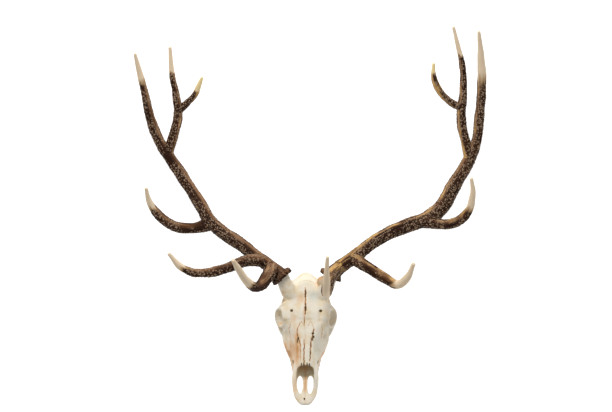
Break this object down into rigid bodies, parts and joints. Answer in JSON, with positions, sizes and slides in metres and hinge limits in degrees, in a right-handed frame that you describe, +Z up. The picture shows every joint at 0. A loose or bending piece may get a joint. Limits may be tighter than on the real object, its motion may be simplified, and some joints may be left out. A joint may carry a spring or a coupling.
{
  "type": "red deer stag skull with antlers",
  "caption": "Life-size skull of a stag without its lower jaw, with branched antlers of beams and curved tines, lying face up as a display specimen.",
  "frame": {"origin": "on the floor, under the middle of the object's box", "axes": "+Z up, away from the floor that it lies on; +X to the animal's left; +Y from the nose towards the antler tips"},
  "size_m": [1.0516, 1.1122, 0.3773],
  "materials": {
    "bone": "dry bleached bone, warm cream, faintly stained",
    "nose_bone": "thin bone, cream to tan",
    "teeth": "worn enamel, brown in the folds",
    "antler": "dark brown, grooved and beaded",
    "burr": "dark brown, coarse knobs",
    "tine": "brown, worn to ivory at the tip"
  },
  "bodies": {
    "root": {"antler_left_bez_tine": "tine", "antler_left_brow_tine": "tine", "antler_left_burr": "burr", "antler_left_inner_branch": "tine", "antler_left_inner_tine": "tine", "antler_left_lower_beam": "antler", "antler_left_outer_tine": "tine", "antler_left_trez_tine": "tine", "antler_left_upper_beam": "antler", "antler_right_bez_tine": "tine", "antler_right_brow_tine": "tine", "antler_right_burr": "burr", "antler_right_inner_branch": "tine", "antler_right_inner_tine": "tine", "antler_right_lower_beam": "antler", "antler_right_outer_tine": "tine", "antler_right_trez_tine": "tine", "antler_right_upper_beam": "antler", "braincase": "bone", "face": "bone", "nasal_left": "nose_bone", "nasal_right": "nose_bone", "occiput": "bone", "pedicle_left": "bone", "pedicle_right": "bone", "premaxilla_left": "nose_bone", "premaxilla_right": "nose_bone", "tooth_row_left": "teeth", "tooth_row_right": "teeth", "zygoma_left": "bone", "zygoma_right": "bone"}
  },
  "joints": []
}
